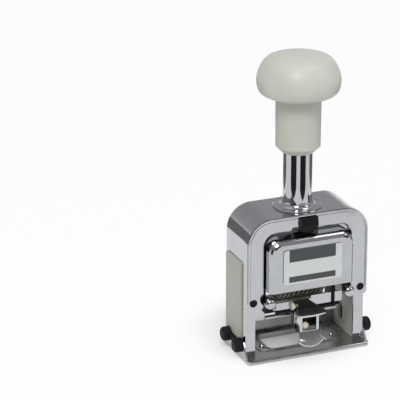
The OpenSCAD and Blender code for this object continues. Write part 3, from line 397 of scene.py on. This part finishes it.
def wheel_finish(name, worn, bare_brass):
    finish = Finish(name)
    x, y, z = finish.axes()
    up_from_axle = z - AXLE_Z
    radius = finish.add("Math", {"operation": "SQRT"}, {0: y * y + up_from_axle * up_from_axle})
    from_first = x - wheel_low[0] + SPARE_PITCHES * WHEEL_PITCH
    across = finish.add("Math", {"operation": "MODULO"}, {0: from_first, 1: WHEEL_PITCH})
    edge = (across < BARE_EDGE_W) * (x > wheel_low[0] + FIRST_FACE)
    brass = (edge + (across > RIM_W + RATCHET_FACE) > 0.5) * bare_brass
    rubbed = finish.add("MapRange", sockets={0: radius, 1: WHEEL_R - RUBBED_FROM, 2: WHEEL_R - RUBBED_TO})
    scuff = finish.between(finish.noise(0.8, 3.0), 0.0, 1.0)
    rim = finish.mix(rubbed * (0.3 + 0.7 * scuff), (0.02, 0.02, 0.022), worn)
    ratchet = finish.mix(scuff, (0.92, 0.87, 0.66), (0.74, 0.69, 0.51))
    finish.bump(scuff, 0.01)
    return finish.set(Base_Color=finish.mix(brass, rim, ratchet), Metallic=0.1 * brass,
                      Roughness=finish.between(scuff, 0.34, 0.5))


WHEEL_BLACK = wheel_finish("wheel_black", (0.035, 0.035, 0.037), 1.0)
FIGURE_BLACK = wheel_finish("worn_figures", (0.20, 0.20, 0.20), 0.0)
print("wheel radius", round(WHEEL_R / MM, 2), "mm, pitch", round(WHEEL_PITCH / MM, 2), "mm")

# %% [markdown]
# ## Label plate
# The plate is satin silver with two dark printed bands, and bears no words. An image could carry the print,
# but two plain bands are only masks on height and width. They leave the silver bare at both sides, between
# them and under the lower one. The plate's edges are a dull grey, found by where their faces look.

# %% Label
BAND_LEFT, BAND_RIGHT = 3.2 * MM, 3.7 * MM
UPPER_H, LOWER_FOOT, LOWER_TOP = 6.9 * MM, 1.0 * MM, 4.3 * MM
FRONTWARD = -0.5
label_low, label_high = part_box("label_plate")


def band(x, z, low, high):
    return (x > label_low[0] + BAND_LEFT) * (x < label_high[0] - BAND_RIGHT) * (z > low) * (z < high)


label = Finish("label_silver")
x, _, z = label.axes()
upper = band(x, z, label_high[2] - UPPER_H, label_high[2] + MM)
lower = band(x, z, label_low[2] + LOWER_FOOT, label_low[2] + LOWER_TOP)
facing = label.add("SeparateXYZ", sockets={0: label.add("NewGeometry", output="Normal")}, output=1)
printed = upper + lower
edge = facing > FRONTWARD
brushed = label.noise(0.3, 3.0, (0.05, 1, 1))
label.bump(brushed, 0.004)
silver = label.mix(label.between(brushed, 0.0, 1.0), (0.72, 0.735, 0.74), (0.67, 0.685, 0.69))
inked = label.mix(printed, silver, (0.056, 0.061, 0.065))
LABEL = label.set(Base_Color=label.mix(edge, inked, (0.16, 0.16, 0.17)), Metallic=0.4 * (1 - printed),
                  Roughness=label.between(brushed, 0.36, 0.46))
print("label is", round((label_high[0] - label_low[0]) / MM, 1), "mm wide")

# %% [markdown]
# ## Give every solid its finish
# A solid keeps its mesh, because the CAD has its shape. Only the material in its slots changes. The wheels
# are alike, so their finish goes by the start of their name.

# %% Dress the solids
FINISH = {
    "casing": CHROME, "front_plate": CHROME, "base_pan": BASE_STEEL, "window_plate": BASE_STEEL,
    "window_rivets": CHROME, "front_screws": BLACKED, "guide_tube": TUBE_CHROME, "tube_nut": STEEL,
    "side_guide_left": GUIDE_IVORY, "side_guide_right": GUIDE_IVORY, "bumper_left": RUBBER,
    "bumper_right": RUBBER, "lock_lever": BLACK_PLASTIC, "lock_slider": STEEL, "knob": KNOB_IVORY,
    "handle_sleeve": SLEEVE_IVORY, "plunger_rod": ROD_STEEL, "rod_nut": STEEL,
    "return_spring": SPRING_STEEL, "inner_frame": BLUED_STEEL, "front_cover": COVER_CHROME,
    "rear_cover": COVER_CHROME, "cover_screws": STEEL, "label_plate": LABEL, "cover_studs": CHROME,
    "wheel_axle": ROD_STEEL, "axle_clips": SPRING_STEEL, "detent_comb": SPRING_STEEL,
    # The foot's rails are black. Along the cross plate this black is partly painted shade for the dark gap
    # under the plate.
    "comb_bar": ROD_STEEL, "foot_rails": BLACKED, "rail_guides": STEEL, "feed_arm": STEEL,
    "feed_pawl": SPRING_STEEL, "pad_carrier": CARRIER_WITH_PAINTED_SHADE, "pad_tray": STEEL, "ink_pad": FELT,
    "foot_plate": CHROME, "foot_grip": GRIP, "grip_boss": NYLON, "foot_bracket": TONGUE,
    "bracket_pin": BLACKED, "foot_block": BLACK_PLASTIC, "foot_buffer": NYLON,
}
for name, solid in nodes.items():
    material = WHEEL_BLACK if name.startswith("number_wheel") else FINISH[name]
    for slot in solid.material_slots:
        slot.material = material
print("dressed", len(nodes), "solids")

# %% [markdown]
# ## Return spring
# The spring stands on the foot of the guide tube, and the knob presses on its top. Its foot stays where it
# is, and its coils close up as the knob goes down. A copy of the solid's coil rides with the frame and
# stands for the solid.

# %% Adding a piece
WELD, FINE_WELD = 1e-6, 1e-7


def add_piece(name, shape, material, body):
    mesh = bpy.data.meshes.new(name)
    shape.to_mesh(mesh)
    shape.free()
    piece = bpy.data.objects.new(name, mesh)
    bpy.context.collection.objects.link(piece)
    mesh.materials.append(material)
    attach(piece, body)
    return piece


def copy_of(name):
    shape = bmesh.new()
    shape.from_mesh(nodes[name].data)
    bmesh.ops.remove_doubles(shape, verts=shape.verts, dist=WELD)
    return shape


print("piece helpers ready")

# %% Spring copy
plunge = next(joint for joint in frame["joints"] if joint["name"] == "plunge")
travel = plunge["range_m"][1]
seat_z, spring_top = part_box("return_spring")[0][2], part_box("return_spring")[1][2]
coil = add_piece("return_spring_coil", copy_of("return_spring"), SPRING_STEEL, "frame")
1 - travel / (spring_top - seat_z)
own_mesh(coil)
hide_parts("return_spring")
print("spring closes up", round(travel / MM, 1), "of", round((spring_top - seat_z) / MM, 1), "mm")

# %% [markdown]
# ## Cross plate of the foot
# The plate's top edge steps down on the left, and the pale pad shows over the lower part. A copy of the
# solid's own mesh keeps its groove and its hole, where a new plate would need both again. A Boolean with a
# plain block, which overshoots the plate by a millimetre, cuts the step. The copy then stands for the
# solid.

# %% Stepped plate
PLATE_STEP_X, PLATE_STEP_DOWN = 1.0 * MM, 1.6 * MM
plate_low, plate_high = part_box("foot_plate")


def cut_block(piece, low, high):
    block = bmesh.new()
    bmesh.ops.create_cube(block, size=1)
    bmesh.ops.scale(block, vec=[b - a for a, b in zip(low, high)], verts=block.verts)
    bmesh.ops.translate(block, vec=[(a + b) / 2 for a, b in zip(low, high)], verts=block.verts)
    mesh = bpy.data.meshes.new("block")
    block.to_mesh(mesh)
    block.free()
    cutter = bpy.data.objects.new("block", mesh)
    bpy.context.collection.objects.link(cutter)
    cut = piece.modifiers.new("cut", "BOOLEAN")
    cut.operation, cut.solver, cut.object = "DIFFERENCE", "EXACT", cutter
    shaped = bpy.data.meshes.new_from_object(piece.evaluated_get(bpy.context.evaluated_depsgraph_get()))
    piece.modifiers.remove(cut)
    piece.data = shaped
    bpy.data.objects.remove(cutter)


stepped = add_piece("foot_plate_stepped", copy_of("foot_plate"), CHROME, "foot")
cut_block(stepped, (plate_low[0] - MM, plate_low[1] - MM, plate_high[2] - PLATE_STEP_DOWN),
          (PLATE_STEP_X, plate_high[1] + MM, plate_high[2] + MM))
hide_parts("foot_plate")
print("stepped plate has", len(stepped.data.polygons), "faces")

# %% [markdown]
# ## Rolled rim of the tongue
# The bracket's tongue ends in a rolled edge, which catches the light as one bright curved line. A bevel
# would follow the sheet's edge but stay as thin as the sheet. So a small circle is swept along an arc in
# the leaning plane of the tongue. The rise is measured upright, and along the leaning sheet it is longer,
# so the arc's radius comes from its half width and that longer rise. The two ends are closed. The rim's
# chrome is softer than the rest, and its paler colour is a painted highlight that makes it read as one
# bright line.

# %% Arc of the rim
RIM_R, RIM_HALF_W, RIM_RISE = 0.4 * MM, 7.2 * MM, 2.4 * MM
RIM_SIDES, RIM_STEPS = 12, 32
INSET = 0.1 * MM
TONGUE_RUN, TONGUE_DROP = 4.3, 8.4
LEAN = math.atan(TONGUE_RUN / TONGUE_DROP)
rise = RIM_RISE / math.cos(LEAN)
arc_r = (RIM_HALF_W ** 2 + rise ** 2) / (2 * rise) - RIM_R
rim_half = math.asin((RIM_HALF_W - RIM_R) / arc_r)
bracket_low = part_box("foot_bracket")[0]
tongue_foot = Vector((0, bracket_low[1] + RIM_R + INSET, bracket_low[2] + RIM_R))
slope = Vector((0, math.sin(LEAN), math.cos(LEAN)))
axis = Vector((0, math.cos(LEAN), -math.sin(LEAN)))
hub = tongue_foot + slope * arc_r
print("rim's arc has a radius of", round(arc_r / MM, 2), "mm")

# %% Rolled rim
rim = bmesh.new()
bmesh.ops.create_circle(rim, cap_ends=False, segments=RIM_SIDES, radius=RIM_R)
bmesh.ops.transform(rim, matrix=Matrix.Rotation(math.radians(90), 4, "Y"), verts=rim.verts)
bmesh.ops.translate(rim, vec=tongue_foot, verts=rim.verts)
bmesh.ops.rotate(rim, cent=hub, matrix=Matrix.Rotation(-rim_half, 3, axis), verts=rim.verts)
bmesh.ops.spin(rim, geom=rim.verts[:] + rim.edges[:], cent=hub, axis=axis, angle=2 * rim_half,
               steps=RIM_STEPS, use_merge=False, use_duplicate=False)
bmesh.ops.remove_doubles(rim, verts=rim.verts, dist=FINE_WELD)
bmesh.ops.holes_fill(rim, edges=[edge for edge in rim.edges if edge.is_boundary], sides=0)
bmesh.ops.recalc_face_normals(rim, faces=rim.faces)
for face in rim.faces:
    face.smooth = len(face.verts) == 4
tongue_rim = add_piece("tongue_rim", rim, RIM_CHROME, "foot")
print("rolled rim has", len(tongue_rim.data.polygons), "faces")

# %% [markdown]
# ## Figures on the wheels
# Each wheel carries the figures 0 to 9, raised and mirrored, one on each flat face. Drawing ten outlines by
# hand would be slow, so a text object gives each outline. It is made a mesh, mirrored, turned onto its face
# and joined with the others of its wheel. Their corners stay inside the circle of the wheel's own edges, so
# that they clear the pad as it swings past. Each wheel starts three figures after its neighbour, so that
# they don't all show the same one.

# %% One figure as a mesh
FIGURE_W, FIGURE_H, FIGURE_DEPTH = 1.15 * MM, 3.0 * MM, 0.17 * MM
ONE_SHARE = 0.6


def figure_mesh(figure):
    curve = bpy.data.curves.new("figure", "FONT")
    curve.body, curve.extrude, curve.resolution_u = str(figure), 0.5, 3
    text = bpy.data.objects.new("figure", curve)
    mesh = bpy.data.meshes.new_from_object(text)
    bpy.data.objects.remove(text)
    xs, ys = zip(*((vert.co.x, vert.co.y) for vert in mesh.vertices))
    middle = Vector(((min(xs) + max(xs)) / 2, (min(ys) + max(ys)) / 2, 0))
    wide = FIGURE_W / (max(xs) - min(xs)) * (ONE_SHARE if figure == 1 else 1)
    tall = FIGURE_H / (max(ys) - min(ys))
    fit = Matrix.Diagonal((-wide, tall, FIGURE_DEPTH, 1))
    mesh.transform(fit @ Matrix.Translation(-middle))
    return mesh


FIGURES = [figure_mesh(figure) for figure in range(10)]
print("figures have", sum(len(mesh.polygons) for mesh in FIGURES), "faces")

# %% Figures round each wheel
FACES = len(FIGURES)
FIGURE_X = 0.85 * MM
FLAT_SHARE, SUNK = 0.9744, 0.02 * MM
FIGURES_ON = 3


def wheel_figures(number):
    middle_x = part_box(f"number_wheel_{number}")[0][0] + FIGURE_X
    flat = WHEEL_R * FLAT_SHARE + FIGURE_DEPTH / 2 - SUNK
    shape = bmesh.new()
    for face in range(FACES):
        start = len(shape.verts)
        shape.from_mesh(FIGURES[(face + FIGURES_ON * number) % FACES])
        shape.verts.ensure_lookup_table()
        round_axle = Matrix.Rotation(math.radians(360 / FACES * face), 4, "X")
        spot = Matrix.Translation((middle_x, 0, AXLE_Z)) @ round_axle @ Matrix.Translation((0, 0, flat))
        bmesh.ops.transform(shape, matrix=spot, verts=shape.verts[start:])
    bmesh.ops.remove_doubles(shape, verts=shape.verts, dist=FINE_WELD)
    bmesh.ops.recalc_face_normals(shape, faces=shape.faces)
    piece = add_piece(f"figures_{number}", shape, FIGURE_BLACK, f"wheel_{number}")
    return len(piece.data.polygons)


wheel_count = sum(1 for name in nodes if name.startswith("number_wheel"))
print("figure faces", sum(wheel_figures(number + 1) for number in range(wheel_count)))

# %% [markdown]
# ## Floor
# The machine stands on a plain white floor. A diffuse floor alone renders a pale grey, and more light on it
# would be more light on the machine too. So for the camera, and for every mirror and glass that looks at
# it, most of its brightness is an even white. The rest stays diffuse, and keeps the machine's soft shadow.
# Close to the machine, and under it, nearly all of the floor is diffuse, so that the shadow is deepest
# where the base meets it.

# %% Stage planes
def stage_plane(name, half_size, material, place=Matrix.Identity(4)):
    shape = bmesh.new()
    bmesh.ops.create_grid(shape, x_segments=1, y_segments=1, size=1)
    bmesh.ops.scale(shape, vec=(*half_size, 1), verts=shape.verts)
    bmesh.ops.transform(shape, matrix=place, verts=shape.verts)
    mesh = bpy.data.meshes.new(name)
    shape.to_mesh(mesh)
    shape.free()
    plane = bpy.data.objects.new(name, mesh)
    bpy.context.collection.objects.link(plane)
    mesh.materials.append(material)
    return plane


print("plane helper ready")

# %% Floor
FLOOR_GREY, FLOOR_HALF = 0.78, 4.0
SHADE_MIDDLE_Y, SHADE_R, OPEN_R = 20 * MM, 20 * MM, 58 * MM
NEAR_WHITE, FAR_WHITE = 0.10, 0.94
paint = Finish("floor_paint", Roughness=0.9, Specular_IOR_Level=0.2)
paint.set(Base_Color=(FLOOR_GREY, FLOOR_GREY, FLOOR_GREY, 1))
rays = [paint.add("LightPath", output=f"Is {kind} Ray") for kind in ("Camera", "Glossy", "Transmission")]
seen = rays[0] + rays[1] + rays[2] > 0.5
x, y, _ = paint.axes()
behind = y - SHADE_MIDDLE_Y
away = paint.add("Math", {"operation": "SQRT"}, {0: x * x + behind * behind})
open_floor = paint.add("MapRange", {"interpolation_type": "SMOOTHSTEP"},
                       {0: away, 1: SHADE_R, 2: OPEN_R, 3: NEAR_WHITE, 4: FAR_WHITE})
white = paint.add("Emission", sockets={"Color": (1, 1, 1, 1), "Strength": 1.0})
matt = Value(paint.tree, paint.shader.outputs[0])
surface = paint.add("MixShader", sockets={0: open_floor * seen, 1: matt, 2: white})
paint.plug(paint.tree.nodes["Material Output"].inputs["Surface"], surface)
stage_plane("floor", (FLOOR_HALF, FLOOR_HALF), paint.material)
print("floor is", 2 * FLOOR_HALF, "m wide")

# %% [markdown]
# ## Dark cards
# Polished metal has no colour of its own and shows what stands round it. In an all-white room a chromed
# tube looks like chalk. A darker room would dim it all over, so a few dark cards, which stand on the floor,
# give it crisp dark stripes instead. They stand far enough away that the upright faces of the frame still
# show the white floor in front of them. The camera doesn't see the cards, and they cast no shadow and take
# no light.

# %% Cards
def card_paper(name, shade):
    return Finish(name, Roughness=0.9, Base_Color=(shade, shade, shade, 1)).material


BLACK_CARD, GREY_CARD = card_paper("card_paint_2", 0.02), card_paper("card_paint_22", 0.22)


def stand_card(name, paper, bearing, distance_mm, half_width_mm, height_mm):
    toward = math.radians(bearing) + AZIMUTH
    foot = Vector((math.sin(toward), -math.cos(toward), 0)) * distance_mm * MM
    upright = Matrix.Rotation(toward, 4, "Z") @ Matrix.Rotation(math.radians(90), 4, "X")
    place = Matrix.Translation(foot + Vector((0, 0, height_mm / 2 * MM))) @ upright
    plane = stage_plane(name, (half_width_mm * MM, height_mm / 2 * MM), paper, place)
    plane.visible_camera = plane.visible_diffuse = plane.visible_shadow = False


stand_card("card_left", BLACK_CARD, bearing=-33, distance_mm=232, half_width_mm=95, height_mm=110)
stand_card("card_right", BLACK_CARD, bearing=40, distance_mm=228, half_width_mm=95, height_mm=88)
stand_card("card_far_left", GREY_CARD, bearing=-128, distance_mm=240, half_width_mm=120, height_mm=100)
stand_card("card_far_right", GREY_CARD, bearing=128, distance_mm=240, half_width_mm=130, height_mm=100)
print("cards stand beside the view")

# %% [markdown]
# ## Light
# Metal is lit with softboxes, because a small lamp would only make a hard spot on it. A strong one in front
# and above gives the soft shading, a weaker one fills from the right, and a broad one overhead, behind and
# to the right, lays the long highlight on every rounded edge.

# %% Softboxes
LAMP_AIM = Vector((0, 0, 80 * MM))


def softbox(name, bearing, height, distance, width, depth, power):
    toward, tilt = math.radians(bearing) + AZIMUTH, math.radians(height)
    level = Vector((math.sin(toward), -math.cos(toward), 0)) * math.cos(tilt)
    light = bpy.data.lights.new(name, "AREA")
    light.shape, light.size, light.size_y = "RECTANGLE", width, depth
    light.energy = power
    lamp = bpy.data.objects.new(name, light)
    bpy.context.collection.objects.link(lamp)
    lamp.location = LAMP_AIM + (level + Vector((0, 0, math.sin(tilt)))) * distance
    lamp.rotation_euler = (LAMP_AIM - lamp.location).to_track_quat("-Z", "Y").to_euler()


softbox("key", bearing=-8, height=48, distance=1.2, width=0.4, depth=0.4, power=7.9)
softbox("fill", bearing=75, height=30, distance=1.1, width=0.4, depth=0.5, power=1.2)
softbox("top", bearing=128, height=69, distance=1.2, width=0.6, depth=0.6, power=2.4)
print("softboxes aim", round(LAMP_AIM.z / MM), "mm above the floor")

# %% [markdown]
# ## Room
# A real room is never one flat grey, and chrome shows that. A picture of a room would bring its own
# colours, so the world is a plain gradient instead: pale at the horizon, grey higher up and pale again
# overhead. It is darker behind the viewer than behind the machine, but at the horizon it keeps its full
# strength all round.

# %% World
SHADES = ((0.0, 0.92), (0.10, 0.80), (0.24, 0.50), (0.50, 0.42), (0.68, 0.50), (0.90, 0.85))
BLUER = 1.01
VIEWER_Y, MACHINE_Y, VIEWER_SHARE, MACHINE_SHARE = -0.35, 0.15, 0.5, 0.9
HORIZON_Z, ABOVE_Z = 0.05, 0.2
world = bpy.data.worlds.new("studio")
bpy.context.scene.world = world
world.use_nodes = True
room = Graph(world.node_tree)
direction = room.add("TexCoord", output="Generated")
y, z = (room.add("SeparateXYZ", sockets={0: direction}, output=k) for k in (1, 2))
stops = [(place, (shade, shade, shade * BLUER)) for place, shade in SHADES]
tone = room.add("ValToRGB", {"stops": stops}, {0: z})
ahead = room.add("MapRange", sockets={0: y, 1: VIEWER_Y, 2: MACHINE_Y, 3: VIEWER_SHARE, 4: MACHINE_SHARE})
low = room.add("MapRange", sockets={0: z, 1: HORIZON_Z, 2: ABOVE_Z, 3: 1.0, 4: 0.0})
background = world.node_tree.nodes["Background"].inputs
room.plug(background["Color"], tone)
room.plug(background["Strength"], room.add("Math", {"operation": "MAXIMUM"}, {0: ahead, 1: low}))
bpy.context.scene.view_settings.view_transform = "Standard"
print("room has", len(SHADES), "shades")
